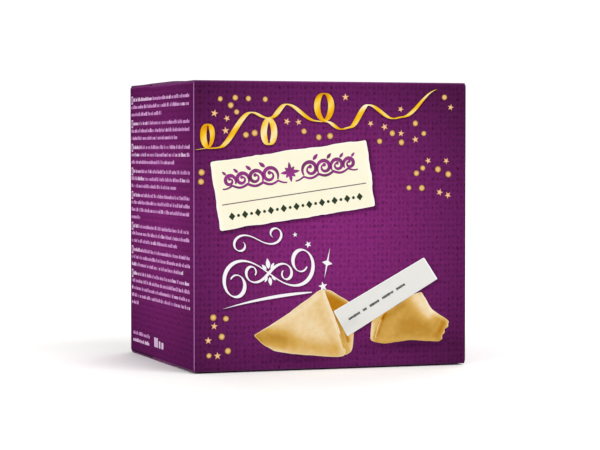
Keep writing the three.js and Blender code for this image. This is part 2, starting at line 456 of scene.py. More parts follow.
def penWidth(path, thin, thick, lean):
    # A broad pen is thick where it runs along the lean: thin + (thick - thin) x |cosine of the angle to the
    # lean| to the power 1.4. The first and the last twelfth of the stroke taper to a third.
    way = heading(path)
    along = np.abs(way[:, 0] * math.cos(math.radians(lean)) + way[:, 1] * math.sin(math.radians(lean)))
    t = np.linspace(0, 1, len(path))
    return (thin + (thick - thin) * along ** 1.4) * (0.35 + 0.65 * np.clip(12 * np.minimum(t, 1 - t), 0, 1))


def starOutline(radius, tilt=0.0, points=5, notch=0.42):
    # Points and notches take turns round two circles
    angle = math.radians(90 + tilt) + np.arange(2 * points) * math.pi / points
    reach = np.where(np.arange(2 * points) % 2 == 0, radius, radius * notch)
    return np.stack([reach * np.cos(angle), reach * np.sin(angle)], axis=-1)


def circleOutline(radius, around=20):
    # Evenly spaced points round a circle: radius x (cosine, sine)
    angle = np.arange(around) * 2 * math.pi / around
    return radius * np.stack([np.cos(angle), np.sin(angle)], axis=-1)


def leafOutline(length, breadth, around=16):
    # A pointed leaf from the origin along u, widest a little before its middle: its half breadth follows
    # sine(pi t) to the power 0.8, weighted towards the stem
    t = np.linspace(0, 1, around // 2 + 1)
    edge = breadth / 2 * np.sin(math.pi * t) ** 0.8 * (1.25 - 0.5 * t)
    low, high = np.stack([length * t, -edge], axis=-1), np.stack([length * t[::-1], edge[::-1]], axis=-1)
    return np.concatenate([low[:-1], high[:-1]])


def brushed(flat, base, strokes):
    # A tone painted with soft brush strokes (points, width, strength). Each one adds its strength times
    # exp(-d squared), where d is the distance to its line over its width.
    tone = np.full(len(flat), base)
    for points, width, strength in strokes:
        line = np.array(points, float)
        start, run = line[:-1], np.diff(line, axis=0)
        offset = flat[:, None] - start
        along = np.clip(np.sum(offset * run, axis=-1) / np.sum(run * run, axis=-1), 0, 1)[..., None]
        away = np.linalg.norm(offset - along * run, axis=-1).min(axis=1)
        tone = tone + strength * np.exp(-(away / width) ** 2)
    return tone


cameraPlace = {
    "turn": 18.73,  # degrees that the camera stands round to the left of straight in front
    "distance": 0.816,  # metres from the upright line through the carton's middle
    "height": 0.079,
    "viewTurn": 18.92,  # degrees that it looks to the right
    "viewRise": -1.96,
    "lens": 128.0,
}
studio = {
    "floorSize": 30.0,  # metres
    "floor": "#F6F5F3",
    "bounce": "#B2B2B2",  # the floor as it lights the carton, as though it were small
    # strength, turn to the right of the front, rise and softness in degrees
    "lamps": {"key": (1.65, 25.0, 48.0, 40.0), "fill": (1.0, -60.0, 32.0, 60.0),
              "rear": (1.2, 155.0, 40.0, 50.0)},
    "ambient": 0.55,
    "backdrop": 1.05,
}


def makeCamera():
    # It stands at distance x (-sine, -cosine) of its turn
    look = cameraPlace
    camera = bpy.data.objects.new("camera", bpy.data.cameras.new("camera"))
    turn, away = math.radians(look["turn"]), look["distance"]
    camera.location = (-math.sin(turn) * away, -math.cos(turn) * away, look["height"])
    camera.rotation_euler = (math.radians(90 + look["viewRise"]), 0, -math.radians(look["viewTurn"]))
    camera.data.lens = look["lens"]
    camera.data.sensor_width = 36.0
    camera.data.clip_start = 0.01
    bpy.context.scene.collection.objects.link(camera)
    bpy.context.scene.camera = camera


def makeStudio():
    # A white floor, three soft lamps far away and an even white sky. Floor and sky are brighter to the camera
    # than they are as light.
    half = studio["floorSize"] / 2
    mesh = bpy.data.meshes.new("floor")
    corners = [(-half, -half, 0), (half, -half, 0), (half, half, 0), (-half, half, 0)]
    mesh.from_pydata(corners, [], [(0, 1, 2, 3)])
    floor = bpy.data.objects.new("floor", mesh)
    bpy.context.scene.collection.objects.link(floor)
    material, tree, shader = newMaterial("matt white sweep", 0.9, 1.45, 0.1)
    seen = addNode(tree, "LightPath").outputs["Is Camera Ray"]
    white = addNode(tree, "Mix", {0: seen, 6: linear(studio["bounce"]), 7: linear(studio["floor"])},
                    data_type="RGBA")
    tree.links.new(white.outputs[2], shader.inputs["Base Color"])
    mesh.materials.append(material)

    for name, (strength, turn, rise, softness) in studio["lamps"].items():
        lamp = bpy.data.lights.new(name, "SUN")
        lamp.energy, lamp.angle = strength, math.radians(softness)
        light = bpy.data.objects.new(name, lamp)
        light.rotation_euler = (math.radians(90 - rise), 0, math.radians(turn))
        bpy.context.scene.collection.objects.link(light)

    world = bpy.data.worlds.new("studio")
    world.use_nodes = True
    tree = world.node_tree
    seen = addNode(tree, "LightPath").outputs["Is Camera Ray"]
    strength = addNode(tree, "Mix", {0: seen, 2: studio["ambient"], 3: studio["backdrop"]}, data_type="FLOAT")
    background = tree.nodes["Background"]
    background.inputs["Color"].default_value = (1, 1, 1, 1)
    tree.links.new(strength.outputs[0], background.inputs["Strength"])
    bpy.context.scene.world = world
    bpy.context.scene.view_settings.view_transform = "Standard"


makeCamera()
makeStudio()
print("camera, light and floor ready")


def steps(low, high, spacing):
    # Evenly spaced values from low to high, about that far apart
    return np.linspace(low, high, max(2, int(round((high - low) / spacing)) + 1))


def wallShell(place, ends, folds, wearAndHighlight, bottom, top, spacing, glueFlap=0.0, shade=None):
    # A wall one board thick between its top and bottom folds. ends are where its faces would meet its
    # neighbours', and folds how many degrees of each fold it takes round, up to a glue flap beyond the
    # second. After the folds comes how light each fold's line is: board showing through worn ink, and on
    # the front-left fold a painted highlight as well. Round a fold of radius r, u = end - r + r sin(angle)
    # and the depth is r - r cos(angle).
    radius, board = carton["foldRadius"], carton["board"]
    count = carton["foldPoints"]
    bends = [np.radians(np.linspace(0, fold, count))[1:] if fold else np.zeros(0) for fold in folds]
    first, second = bends[0][::-1], bends[1]
    flat = steps(ends[0] + (radius if folds[0] else 0), ends[1] - (radius if folds[1] else 0), spacing)
    tail = steps(radius, glueFlap, carton["glueStep"])[1:] if glueFlap else np.zeros(0)
    u = np.concatenate([ends[0] + radius - radius * np.sin(first), flat,
                        ends[1] - radius + radius * np.sin(second), np.full(len(tail), ends[1])])
    depth = np.concatenate([radius - radius * np.cos(first), 0 * flat, radius - radius * np.cos(second),
                            tail])
    angle = np.concatenate([-first, 0 * flat, second, np.full(len(tail), math.pi / 2)])
    v = steps(bottom, top, spacing)[:, None]
    outer = place(u[None, :], v, -depth[None, :])
    inner = place((u - board * np.sin(angle))[None, :], v, -(depth + board * np.cos(angle))[None, :])
    flatPlace = np.stack(np.broadcast_arrays(u[None, :], v), axis=-1)
    # lighter fold lines: worn ink, and on the front-left fold a painted highlight
    wornAndHighlit = np.where(angle < 0, wearAndHighlight[0], wearAndHighlight[1]) * np.clip(np.abs(angle) / (math.pi / 4), 0, 1) ** 8
    shadow = shade(flatPlace[..., 0], flatPlace[..., 1]) if shade else np.zeros(flatPlace.shape[:2])
    return sheetShell(outer, inner, flatPlace, crease=wornAndHighlit[None, :] + 0 * v, shadow=shadow)


def flapShell(place, level, reach, length, above, corner=0.0, sink=None):
    # A flap one board thick with its quarter fold; place(u, s, z) gives the point s behind the wall's face.
    # The free edge's corners are rounded with the radius r: where they are d deep, the flap is narrower by
    # r - sqrt(r squared - d squared). sink(s) is how far it gives.
    radius, board = carton["foldRadius"], carton["board"]
    turn = np.linspace(0, math.pi / 2, carton["flapPoints"])
    rounded = length - corner + corner * np.sin(turn[1:]) if corner else []
    run = np.concatenate([steps(radius, length - corner, carton["gridStep"])[1:], rounded])
    depth = np.concatenate([radius - radius * np.cos(turn), run])
    drop = np.concatenate([radius - radius * np.sin(turn), 0 * run])
    innerDepth = np.concatenate([radius - (radius - board) * np.cos(turn), run])
    innerDrop = np.concatenate([radius - (radius - board) * np.sin(turn), 0 * run + board])
    if sink:
        drop, innerDrop = drop + sink(depth), innerDrop + sink(innerDepth)
    past = np.clip(depth - (length - corner), 0, corner)
    narrow = corner - np.sqrt(np.clip(corner ** 2 - past ** 2, 0, None))
    u = np.linspace(-1, 1, int(2 * reach / carton["gridStep"]) + 1)[None, :] * (reach - narrow)[:, None]
    sign = 1 if above else -1
    outer = place(u, depth[:, None], level - sign * drop[:, None])
    inner = place(u, innerDepth[:, None], level - sign * innerDrop[:, None])
    arc = np.concatenate([radius * turn, radius * math.pi / 2 + run - radius])[:, None] + 0 * u
    fromFold = np.abs(arc - radius * math.pi / 4)
    crease = carton["flapWear"] * np.clip(1 - fromFold / carton["flapWearWidth"], 0, 1)
    flatPlace = np.stack([u, level - sign * radius + sign * arc], axis=-1)
    if not above:  # its rows run down from the wall, so they are turned to run up
        outer, inner, flatPlace, crease = outer[::-1], inner[::-1], flatPlace[::-1], crease[::-1]
    return sheetShell(outer, inner, flatPlace, crease=crease, shadow=0 * crease)


def makeStrip(name, wall, wallPlace, flapPlace, outside, reach, length, boardPrint, settle=None, **flap):
    # A wall with its two flaps, whose outer faces lie outside below the top and above the ground
    radius = carton["foldRadius"]
    shells = [wallShell(wallPlace, bottom=outside + radius, top=height - outside - radius, **wall),
              flapShell(flapPlace, height - outside, reach, length, True, **flap),
              flapShell(flapPlace, outside, reach, length, False, **flap)]
    strip = joined(shells)
    if settle:
        strip["points"] = settle(strip["points"])
    return makePiece(name, strip, [boardPrint, cutEdge])


frontShadows = []  # functions of u and v, filled by the printed things that throw a drawn shadow


def frontShade(u, v):
    # All drawn shadows together: 1 less the product of what each of them lets through
    light = np.ones(np.broadcast(u, v).shape)
    for shadowOf in frontShadows:
        light = light * (1 - shadowOf(u, v))
    return 1 - light


def makeBoard():
    # One strip of board for each wall. The front one's flaps lie under the back one's, and the side walls'
    # dust flaps lie inmost.
    plain, fine, board = carton["gridStep"], carton["printStep"], carton["board"]
    inset, dustReach = carton["flapInset"], halfDepth - carton["dustFlapInset"]
    cutBack = -halfWidth + carton["foldRadius"] + carton["seamGap"]
    frontFlap = lambda u, s, z: onPanel(u, s - halfDepth, z)
    backFlap = lambda u, s, z: onPanel(-u, halfDepth - s, z)
    leftFlap = lambda u, s, z: onPanel(s - halfWidth, -u, z)
    rightFlap = lambda u, s, z: onPanel(halfWidth - s, u, z)
    # The front-left fold's full wear, on the front strip's first fold and the left strip's second, is also a
    # painted highlight
    front = makeStrip("frontBoard", {"ends": (-halfWidth, halfWidth), "folds": (45, 45), "wearAndHighlight": (1.0, 0.1),
                      "spacing": fine, "shade": frontShade}, onFront, frontFlap, board, halfWidth - inset,
                      carton["innerFlapLength"], mainPrint)
    makeStrip("backBoard", {"ends": (cutBack, halfWidth), "folds": (0, 45), "wearAndHighlight": (0.0, 0.4),
              "spacing": plain}, onBack, backFlap, 0.0, halfWidth - inset,
              2 * halfDepth - carton["outerFlapStrip"], mainPrint, corner=carton["flapCorner"],
              sink=outerFlapSink)
    # its second fold is the front-left one, whose full wear is also a painted highlight
    makeStrip("leftBoard", {"ends": (-halfDepth, halfDepth), "folds": (45, 45), "wearAndHighlight": (0.4, 1.0),
              "spacing": plain}, onLeft, leftFlap, 2 * board, dustReach, carton["dustFlapLength"], sidePrint,
              sprungUp)
    makeStrip("rightBoard", {"ends": (-halfDepth, halfDepth - board), "folds": (45, 90), "wearAndHighlight": (0.1, 0.2),
              "spacing": plain, "glueFlap": carton["glueFlap"]}, onRight, rightFlap, 2 * board, dustReach,
              carton["dustFlapLength"], sidePrint, sprungUp)
    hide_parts("carton")


mainPrint = printedBoard("matt varnished canvas print", (-2.0, 50.0), 70.0)
sidePrint = printedBoard("matt varnished canvas print, side panels", (0.0, 54.0), 85.0)
cutEdge = cutBoard()

# Gold is printed as yellows, from deep amber in the folds to cream in the highlights, and isn't metallic
goldInk = inkFilm("gold ink", [(0.0, "#DA8E0E"), (0.28, "#F0AC14"), (0.5, "#F6C62A"), (0.75, "#FADE86"),
                               (1.0, "#FFF1CF")], "tone", mottle=0.04)
streamer = {
    # u and v of each place where it runs level, then the width and height of its loop there; a loop with a
    # negative height hangs down
    "front": [(-51.9, 79.8, 0, 0), (-47.2, 80.3, 4.0, 8.6), (-43.4, 80.5, 0, 0), (-31.0, 93.2, 0, 0),
              (-24.4, 91.2, 4.6, -9.6), (-17.8, 96.2, 0, 0), (-6.5, 90.2, 0, 0), (-3.4, 90.0, 6.4, 10.2),
              (3.2, 87.2, 0, 0), (6.4, 87.9, 0, 0), (13.6, 96.2, 0, 0), (23.4, 91.2, 0, 0),
              (27.0, 91.8, 0, 0), (41.0, 102.0, 0, 0)],
    "back": [(-51.9, 86.0, 0, 0), (-38.0, 95.0, 0, 0), (-30.0, 90.5, 6.6, -9.5), (-17.0, 97.0, 0, 0),
             (-7.0, 89.5, 6.0, 9.6), (7.0, 95.5, 0, 0), (19.0, 90.0, 7.0, 10.0), (33.0, 96.5, 0, 0),
             (44.0, 88.0, 0, 0)],
    "right": [(-43.9, 88.0, 0, 0), (-33.0, 96.0, 0, 0), (-24.0, 89.0, 6.5, -9.0), (-9.0, 96.5, 0, 0),
              (3.0, 89.5, 6.5, 9.6), (18.0, 96.0, 0, 0), (36.0, 88.5, 0, 0)],
    "drift": 0.30,  # how far a loop moves on to the right, as a share of its width
    "broad": 2.35, "thin": 0.42,  # the ribbon seen flat on and on edge
    "taper": 15.0,  # length over which it grows to its full width at each end
    "spacing": 0.25,  # of the points along it
    "smoothing": 14,  # rounds of smoothing where a curve meets a loop
    "sheen": 9.5,  # its satin sheen comes and goes over this length
    # its plain tone, and how much each of these adds or takes away
    "tones": {"plain": 0.52, "back": 0.16, "bend": 0.28, "sheen": 0.16, "edge": 0.2, "middle": 0.08},
    "fullBend": 3.0,  # a bend of this radius or less counts in full
    "layer": 0.06, "shadowLayer": 0.004,  # each loop and its shadow lie this much higher than the one before
    "shadow": {"strength": 0.42, "margin": 0.55, "steep": 3.2, "offset": (0.12, -0.16), "across": 11},
}


def streamerPath(waypoints, samples=60):
    # Level at each waypoint, an S curve between two, and one turn of an ellipse at a waypoint with a loop.
    # Gives the points and the layer of each: a loop comes out in front of where it went in, a hanging one
    # behind it.
    pieces, turns, done = [], [], 0
    t = np.linspace(0, 1, samples, endpoint=False)
    for k, (u, v, loopWidth, loopHeight) in enumerate(waypoints):
        drift = streamer["drift"] * loopWidth
        if loopHeight:
            phase = 2 * math.pi * t
            pieces.append(np.stack([u + drift * (t - 0.5) + loopWidth / 2 * np.sin(phase),
                                    v + loopHeight / 2 * (1 - np.cos(phase))], axis=-1))
            rise = math.copysign(1, loopHeight)
            turns.append(done + rise * t)
            done += rise
        if k + 1 < len(waypoints):
            nextU, nextV, nextWidth, nextHeight = waypoints[k + 1]
            startU = u + (drift / 2 if loopHeight else 0)
            endU = nextU - (streamer["drift"] * nextWidth / 2 if nextHeight else 0)
            pieces.append(np.stack([startU + (endU - startU) * t, v + (nextV - v) * smoothstep(t)], axis=-1))
            turns.append(done + 0 * t)
    joint = np.column_stack([np.concatenate(pieces), np.concatenate(turns)])
    line = evened(joint, streamer["spacing"], closed=False)
    for _ in range(streamer["smoothing"]):
        line[1:-1] = (line[:-2] + 2 * line[1:-1] + line[2:]) / 4
    return line[:, :2], line[:, 2] - line[:, 2].min()


def streamerWidth(path):
    # The ribbon is flat on where it climbs or falls and on edge where it runs level: from thin to broad by
    # its steepness to the power 1.6. Its ends taper to 15% of that.
    look = streamer
    steep = softened(np.abs(heading(path)[:, 1]), 3)
    place = np.arange(len(path)) * look["spacing"]
    end = np.clip(np.minimum(place, place[::-1]) / look["taper"], 0, 1) ** 0.8
    return (look["thin"] + (look["broad"] - look["thin"]) * steep ** 1.6) * (0.15 + 0.85 * end)


def streamerTone(path):
    # The tone along the middle: golden where it runs back to the left or bends to the left, pale where it
    # bends to the right. A satin sheen comes and goes, as a sine for the middle and a cosine for how much
    # lighter one edge is than the other.
    tones = streamer["tones"]
    phase = 2 * math.pi * np.arange(len(path)) * streamer["spacing"] / streamer["sheen"]
    way = heading(path)
    turn = np.gradient(way, streamer["spacing"], axis=0)
    bend = way[:, 0] * turn[:, 1] - way[:, 1] * turn[:, 0]
    back = softened(np.clip(-way[:, 0], 0, 1), 6)
    sway = softened(np.clip(streamer["fullBend"] * bend, -1, 1), 4)
    middle = tones["plain"] - tones["back"] * back - tones["bend"] * sway + tones["sheen"] * np.sin(phase)
    return middle, tones["edge"] * np.cos(phase)


def makeStreamer(panel, place, base):
    # The ribbon, lighter along its middle by the share (1 - across squared), and its drawn shadow under it
    look = streamer
    path, turn = streamerPath(look[panel])
    width, (tone, edge) = streamerWidth(path), streamerTone(path)
    rule = lambda along, across: tone + look["tones"]["middle"] * (1 - across ** 2) + edge * across
    ribbon = strokeShell(path, width, place, layers["stroke"] + look["layer"] * turn, across=7, tone=rule)
    makePiece(panel + "Streamer", ribbon, [goldInk])
    shade = drawnShadow(path, width, place, layers["shadow"] + look["shadowLayer"] * turn, **look["shadow"])
    makePiece(panel + "StreamerShadow", shade, [base])
    return path


# Each dot and star fades from pale gold in its middle to brown at its rim, which makes it look domed
confettiInk = inkFilm("antique gold ink", [(0.0, "#F6CF8C"), (0.45, "#E6BA70"), (0.75, "#C89A58"),
                                           (0.9, "#8E6038"), (1.0, "#4A2240")], "tone", mottle=0.06)
starStops = [(0.0, "#FCD2A0"), (0.7, "#F0BC82"), (1.0, "#A8705E")]
starInk = inkFilm("pale gold ink", starStops, "tone", mottle=0.05)
confetti = {
    # clusters: middle u and v, half width and half height, dots, stars
    "front": [(-37, 91, 12, 8, 8, 3), (-10, 85, 12, 5, 3, 2), (6, 93, 9, 6, 0, 2), (27, 88, 9, 7, 5, 4),
              (38, 70, 9, 9, 6, 4), (44, 96, 4, 4, 1, 1), (-47, 72, 3, 5, 2, 0), (-44, 14, 5, 8, 5, 3)],
    "back": [(-30, 88, 18, 10, 10, 5), (14, 90, 22, 9, 12, 6), (42, 74, 8, 16, 7, 4), (-44, 16, 7, 12, 7, 4),
             (40, 12, 10, 8, 6, 3)],
    "right": [(-20, 88, 20, 9, 10, 5), (20, 90, 20, 9, 10, 5), (-34, 12, 9, 8, 5, 3), (34, 12, 9, 8, 5, 3)],
    "top": [(-28, 20, 20, 18, 12, 6), (28, 22, 20, 18, 12, 6), (0, -31, 44, 8, 14, 7)],
    "dot": (1.0, 1.28), "star": (1.25, 1.55),  # least and greatest radius
    "apart": 3.1,  # least distance between two
    "tries": 400,  # places drawn in each cluster
    "clear": 2.6,  # least distance from the streamer and the label
    "seeds": {"front": 4, "back": 9, "right": 15, "top": 12},
}


def makeConfetti(panel, place, path, papers):
    # Places are drawn at random in each cluster and kept where they are clear of each other, of the
    # streamer and of the paper labels
    look, draw = confetti, np.random.default_rng(confetti["seeds"][panel])
    shades = [polygonShade(corners, (0, 0), look["clear"], 1.0) for corners in papers]
    near = lambda points, spot: np.linalg.norm(points - spot, axis=1).min(initial=np.inf)
    taken, dots, stars = np.zeros((0, 2)), [], []
    for u, v, reachU, reachV, dotCount, starCount in look[panel]:
        spots = np.array([u, v]) + draw.uniform(-1, 1, (look["tries"], 2)) * [reachU, reachV]
        sizes, tilts = draw.uniform(0, 1, look["tries"]), draw.uniform(0, 72, look["tries"])
        count, placed = dotCount + starCount, 0
        for spot, size, tilt in zip(spots, sizes, tilts):
            if placed == count:
                break
            if near(taken, spot) < look["apart"] or near(path, spot) < look["clear"]:
                continue
            if any(shade(*spot) > 0 for shade in shades):
                continue
            isStar = (placed + 1) * starCount // count > placed * starCount // count
            low, high = look["star" if isStar else "dot"]
            radius = low + (high - low) * size
            outline = starOutline(radius, tilt - 36) if isStar else circleOutline(radius)
            shell = filledShell(outline + spot, spot, 3 if isStar else 5, place, layers["confetti"],
                                tone=lambda share, flat: share)
            (stars if isStar else dots).append(shell)
            taken, placed = np.concatenate([taken, [spot]]), placed + 1
    makePiece(panel + "Confetti", joined(dots), [confettiInk])
    makePiece(panel + "Stars", joined(stars), [starInk])


# The label's cream is a little cloudy, like paper, with a white torn rim; plum is laid on unevenly
creamStops = [(0.0, "#F5EDD0"), (0.5, "#FCF7DC"), (0.8, "#FEFAE6"), (1.0, "#FFFDF6")]
creamInk = inkFilm("cream ink", creamStops, "tone", mottle=0.12, scale=0.12)
plumStops = [(0.0, "#6E3A5E"), (0.5, "#8C3A7E"), (1.0, "#A23A92")]
plumInk = inkFilm("plum ink", plumStops, mottle=0.5, scale=0.25)
darkInk = inkFilm("dark olive ink", [(0.0, "#243022"), (1.0, "#3E4A36")])
ruleInk = inkFilm("mauve-brown ink", [(0.0, "#6E5660"), (1.0, "#8A7078")])
label = {
    "corners": [(-42.6, 50.9, 0.9), (16.2, 59.2, 0.8), (12.9, 83.5, 0.9), (-46.2, 75.4, 0.9)],
    "tear": 0.12, "seed": 11,  # of its edge
    "spacing": 0.45, "rings": 26,  # of the mesh points round its edge, and from its middle outwards
    "rim": (0.955, 0.03),  # it grows white from that share of the way out, over that share more
    "tilt": 7.9,
    "ornamentMiddle": (-16.4, 71.6),
    "ruleMiddle": (-14.6, 63.9), "ruleLength": 55.2, "ruleWidth": 0.34,
    "beadMiddle": (-14.0, 59.4), "beadCount": 21, "beadPitch": 2.45,
    "lozenge": (1.2, 1.4), "dot": 0.55,  # half their width and height, and radius
    "shadow": {"offset": (0.7, -0.7), "soft": 1.7, "strength": 0.5},
}
scroll = {
    "units": 4, "first": 4.9, "pitch": 5.75,  # spirals to each side, where they begin and their spacing
    "radius": 3.35, "turns": 1.35, "start": 215,  # of a spiral, which starts at that angle
    "shrink": 0.09, "crowding": 0.035,  # how much smaller and nearer each one is than the one before
    "winding": 0.74,  # how far it winds in, as a share of its radius
    "thick": 1.35, "thin": 0.45,
    "level": 0.2,  # height of their middles
    "eye": 0.72, "eyeShrink": 0.08,
    # leaves: length, share by which each one is shorter than the one before, breadth as a share of it,
    # place in radii from the spiral's middle, and angle
    "leaf": 2.9, "leafShrink": 0.1, "leafBreadth": 0.46, "leafPlace": (0.42, 0.92), "leafAngle": 44.0,
    # the garland line below them: how far it hangs, how steeply it climbs outwards, where it begins, how far
    # past the last spiral it ends, its width at the ends and how much more it is in the middle
    "garland": 2.35, "climb": 0.035, "garlandStart": 1.6, "garlandPast": 0.4, "garlandWidth": (0.5, 0.45),
    "rosette": (3.7, 2.6), "rosetteBreadth": 1.25,  # its long and short leaves
    "rise": 0.006,  # leaves lie this much higher than the strokes, and eyes twice as much
}


def polygonShade(corners, offset, soft, strength):
    # The drawn shadow of a convex shape: full inside it and fading to nothing over the width soft, by the
    # square of (1 - distance / soft)
    spot = np.array([corner[:2] for corner in corners]) + np.array(offset)
    normal = outwardNormals(np.roll(spot, -1, axis=0) - spot)

    def shade(u, v):
        points = np.stack(np.broadcast_arrays(u, v), axis=-1)
        away = np.max(np.einsum("...kj,kj->...k", points[..., None, :] - spot, normal), axis=-1)
        return strength * np.clip(1 - np.clip(away, 0, None) / soft, 0, 1) ** 2
    return shade


def scrollStrokes():
    # Running scrolls: each is a spiral of radius r x (1 - winding x t to the power 0.85) that winds in
    # clockwise from its lower left, over a garland line that dips once below each of them. Gives (path,
    # width) pairs, the dots at the spirals' eyes and the leaves on their backs.
    look, strokes, dots, leaves = scroll, [], [], []
    t = np.linspace(0, 1, 60)
    for k in range(look["units"]):
        size = look["radius"] * (1 - look["shrink"] * k)
        across = look["first"] + look["pitch"] * (k + 0.5) * (1 - look["crowding"] * k)
        middle = np.array([across, look["level"]])
        angle = math.radians(look["start"]) - 2 * math.pi * look["turns"] * t
        reach = size * (1 - look["winding"] * t ** 0.85)
        path = middle + np.stack([reach * np.cos(angle), reach * np.sin(angle)], axis=-1)
        width = look["thin"] + (look["thick"] - look["thin"]) * np.sin(math.pi * t ** 0.6) ** 1.2
        strokes.append((path, width))
        dots.append((path[-1], look["eye"] * (1 - look["eyeShrink"] * k)))
        leaf = look["leaf"] * (1 - look["leafShrink"] * k)
        leaves.append((middle + size * np.array(look["leafPlace"]), look["leafAngle"], leaf))
    start, last = look["garlandStart"], look["units"] - 1
    end = look["first"] + look["pitch"] * look["units"] * (1 - look["crowding"] * last)
    end += look["garlandPast"]
    u = np.linspace(start, end, 160)
    dip = np.abs(np.sin(math.pi * (u - look["first"]) / look["pitch"])) - look["climb"] * u
    garland = np.stack([u, -look["garland"] - dip], axis=-1)
    least, more = look["garlandWidth"]
    strokes.append((garland, least + more * np.sin(math.pi * (u - start) / (end - start))))
    return strokes, dots, leaves


def makeOrnament(name, place, middle, tilt, lift):
    # The scrolls and their mirror image, either side of a rosette of eight leaves
    put = lambda points: turned(points, tilt, middle)
    shells, rise, middleOfAll = [], scroll["rise"], (0, scroll["level"])
    fill = lambda outline, inside, high: shells.append(filledShell(put(outline), put(inside), 2, place, high))
    strokes, dots, leaves = scrollStrokes()
    for hand in (1, -1):
        flip = np.array([hand, 1])
        for path, width in strokes:
            shells.append(strokeShell(put(path * flip), width, place, lift, across=3))
        for spot, radius in dots:
            fill(circleOutline(radius, 14) + spot * flip, spot * flip, lift + 2 * rise)
        for spot, angle, length in leaves:
            outline = turned(leafOutline(length, scroll["leafBreadth"] * length), angle, spot) * flip
            fill(outline[::hand], turned([0.5 * length, 0.0], angle, spot) * flip, lift + rise)
    for k in range(8):
        length = scroll["rosette"][k % 2]
        outline = turned(leafOutline(length, scroll["rosetteBreadth"]), 45.0 * k, middleOfAll)
        fill(outline, turned([0.5 * length, 0.0], 45.0 * k, middleOfAll), lift + rise + 0.001 * k)
    makePiece(name, joined(shells), [plumInk])


def makeBeads():
    # A row of lozenges and dots, which take turns, along the label's tilt
    look, shells = label, []
    wide, tall = look["lozenge"]
    lozenge = np.array([[wide, 0], [0, tall], [-wide, 0], [0, -tall]])
    put = lambda points: turned(points, look["tilt"], look["beadMiddle"])
    for k in range(look["beadCount"]):
        spot = np.array([(k - (look["beadCount"] - 1) / 2) * look["beadPitch"], 0.0])
        outline = lozenge if k % 2 == 0 else circleOutline(look["dot"], 12)
        shells.append(filledShell(put(outline + spot), put(spot), 1, onFront, layers["onPaper"]))
    makePiece("labelBeads", joined(shells), [darkInk])


def makePaper(name, place, look, centre):
    # Torn paper: its outline filled from its centre, white along the torn rim
    first, width = look["rim"]
    outline = torn(cornered(look["corners"], look["spacing"]), look["tear"], look["seed"])
    rim = lambda share, flat: 0.5 + 0.5 * np.clip((share - first) / width, 0, 1)
    shell = filledShell(outline, centre, look["rings"], place, layers["paper"], tone=rim)
    makePiece(name, shell, [creamInk])


def makeLabel():
    # The paper with its drawn shadow, then an ornament, a rule and a row of beads along its tilt
    look, lift, tilt = label, layers["onPaper"], label["tilt"]
    centre = np.mean([corner[:2] for corner in look["corners"]], axis=0)
    makePaper("labelPaper", onFront, look, centre)
    frontShadows.append(polygonShade(look["corners"], **look["shadow"]))
    makeOrnament("labelOrnament", onFront, look["ornamentMiddle"], tilt, lift)
    half = look["ruleLength"] / 2
    rule = turned(np.stack([np.linspace(-half, half, 40), np.zeros(40)], axis=-1), tilt, look["ruleMiddle"])
    makePiece("labelRule", strokeShell(rule, look["ruleWidth"], onFront, lift, across=2), [ruleInk])
    makeBeads()


whiteInk = inkFilm("bare white board left in the print", [(0.0, "#F4EEF4"), (1.0, "#FFFFFF")])
flourish = {
    # S scrolls: middle u and v, length, turns of each spiral, how much taller, hand, thin and thick width
    "scrolls": [(-24.4, 35.6, 34.0, 1.25, 1.25, 1, 0.42, 1.4), (-24.4, 35.6, 17.0, 1.0, 1.15, -1, 0.38, 1.05),
                (-28.6, 47.6, 18.0, 1.0, 1.0, 1, 0.34, 0.9)],
    "tilt": 8.0,
    "lean": 60.0,  # way that the pen's thick strokes run
    # leaves round the crossing of the first two: its middle, their distance from it, their breadth as a
    # share of their length, then each one's angle and length
    "leafMiddle": (-24.4, 35.6), "leafGap": 1.5, "leafBreadth": 0.42,
    "leaves": [(64, 2.6), (98, 3.8), (132, 2.6), (244, 2.2), (278, 3.2), (312, 2.2)],
    "underline": [(-41.6, 23.0), (-25.0, 27.4), (-8.2, 28.3)], "underlineWidth": 1.1,
    # u, v, radius, points, notch, breadth and tilt of each star; the first is a tall sparkle
    "stars": [(-2.3, 38.8, 5.6, 4, 0.22, 0.36, -11), (-3.9, 30.3, 1.8, 5, 0.42, 1.0, 10),
              (-9.6, 45.6, 1.3, 5, 0.42, 1.0, 25), (-14.6, 49.2, 0.95, 5, 0.42, 1.0, 5)],
    "layer": 0.02,  # each stroke lies this much higher than the one before
    "shadowBelow": 0.05,  # and its shadow this much lower than itself
    "shadow": {"strength": 0.35, "margin": 0.45, "steep": 2.6, "offset": (0.15, -0.2), "across": 7},
}


def scrollLine(length, turns, taller, samples=320):
    # A line with a spiral at each end: its heading is 2 pi x turns x s squared, for s from -1 to 1. It is
    # laid level from eye to eye and then drawn that much taller.
    angle = 2 * math.pi * turns * np.linspace(-1, 1, samples) ** 2
    path = np.cumsum(np.stack([np.cos(angle), np.sin(angle)], axis=-1), axis=0)
    across = path[-1] - path[0]
    path = turned(path - (path[0] + path[-1]) / 2, -math.degrees(math.atan2(across[1], across[0])))
    return path * length / np.ptp(path[:, 0]) * [1, taller]


